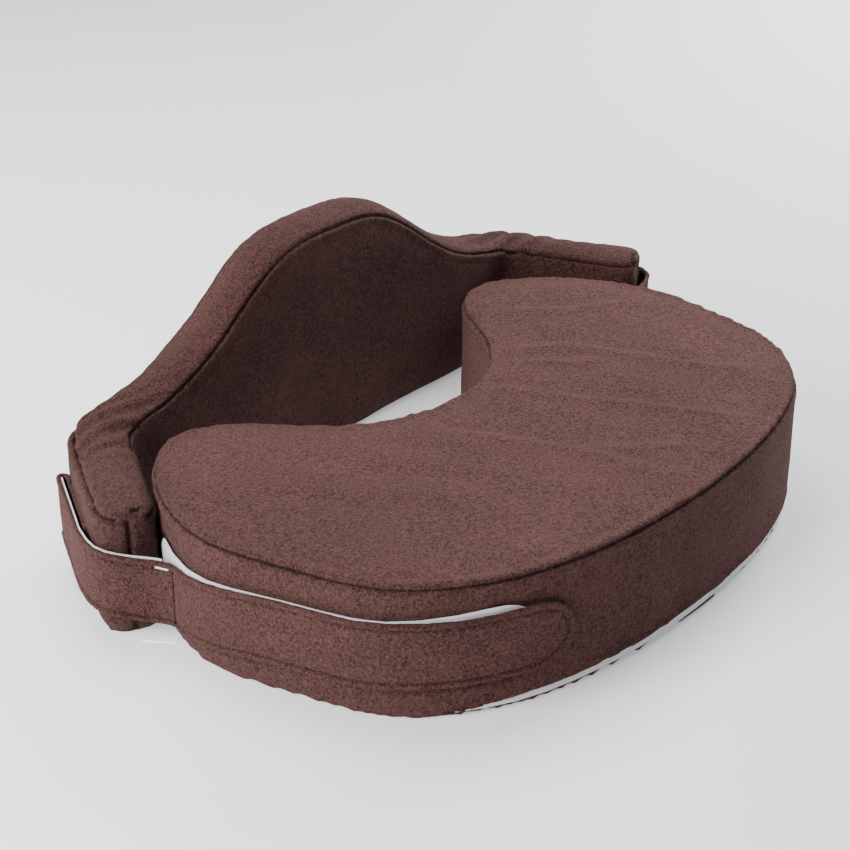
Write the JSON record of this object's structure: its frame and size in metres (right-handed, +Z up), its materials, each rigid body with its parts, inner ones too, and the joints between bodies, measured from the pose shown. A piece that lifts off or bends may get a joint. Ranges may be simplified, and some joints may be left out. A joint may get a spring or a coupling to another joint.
{
  "type": "nursing pillow",
  "caption": "Crescent foam feeding platform with a standing, humped backrest pad behind it, tied by a hook-and-loop belt on one side and a sewn link on the other, all in zipped fleece covers",
  "frame": {"origin": "middle of the platform's waist, on its flat base", "axes": "+Z up; -Y is the front of the platform, which rests on the lap; +X towards the sewn link; the backrest pad stands on the +Y side"},
  "size_m": [0.6959, 0.4552, 0.212],
  "materials": {
    "fleece": "matte",
    "foam": "matte",
    "tape": "matte",
    "zip": "matte",
    "metal": "satin",
    "thread": "matte"
  },
  "bodies": {
    "platform": {"platform_foam_core": "foam", "platform_top_panel": "fleece", "platform_side_band": "fleece", "platform_bottom_panel": "fleece", "platform_zip_tape_lower": "tape", "platform_zip_tape_upper": "tape", "platform_zip_coil": "zip", "platform_zip_start_stop": "metal", "platform_zip_end_stop": "metal", "care_label": "tape", "near_loop_tape": "tape", "far_link_patch": "fleece", "far_patch_stitching_back": "thread", "far_patch_stitching_front": "thread"},
    "backrest": {"backrest_foam_core": "foam", "backrest_front_panel": "fleece", "backrest_back_panel": "fleece", "backrest_gusset": "fleece", "backrest_base_strip": "fleece", "backrest_zip_tape_lower": "tape", "backrest_zip_tape_upper": "tape", "backrest_zip_coil": "zip", "backrest_zip_start_stop": "metal", "backrest_zip_end_stop": "metal", "near_belt": "fleece", "near_belt_tape": "tape", "near_bar_tack": "thread", "far_link": "fleece"},
    "near_flap": {"near_flap_cover": "fleece", "near_flap_hook_tape": "tape"},
    "platform_zip_slider": {"platform_zip_slider": "metal"},
    "platform_zip_pull": {"platform_zip_pull": "metal"},
    "backrest_zip_slider": {"backrest_zip_slider": "metal"},
    "backrest_zip_pull": {"backrest_zip_pull": "metal"}
  },
  "joints": [
    {"name": "backrest_swing", "type": "hinge", "parent": "platform", "child": "backrest", "pos_m": [0.2905, 0.14059, 0.05], "axis": [0, 0, -1], "range_deg": [0, 50]},
    {"name": "near_flap_peel", "type": "hinge", "parent": "backrest", "child": "near_flap", "pos_m": [-0.28826, 0.1532, 0.05], "axis": [0, 0, -1], "range_deg": [0, 125]},
    {"name": "platform_zip_travel", "type": "hinge", "parent": "platform", "child": "platform_zip_slider", "pos_m": [-0.49669, 0.21576, 0.05], "axis": [0, 0, -1], "range_deg": [0, 4.3]},
    {"name": "platform_zip_pull_turn", "type": "hinge", "parent": "platform_zip_slider", "child": "platform_zip_pull", "pos_m": [0.2914, 0.0877, 0.0077], "axis": [0, 0, -1], "range_deg": [0, 170]},
    {"name": "backrest_zip_travel", "type": "slide", "parent": "backrest", "child": "backrest_zip_slider", "axis": [-1, 0, 0], "range_m": [0, 0.3]},
    {"name": "backrest_zip_pull_turn", "type": "hinge", "parent": "backrest_zip_slider", "child": "backrest_zip_pull", "pos_m": [0.18778, 0.3327, 0.0077], "axis": [0, 0, -1], "range_deg": [0, 170]}
  ],
  "couplings": [
    {"joint": "near_flap_peel", "follows": "backrest_swing", "ratio": 2.5}
  ]
}
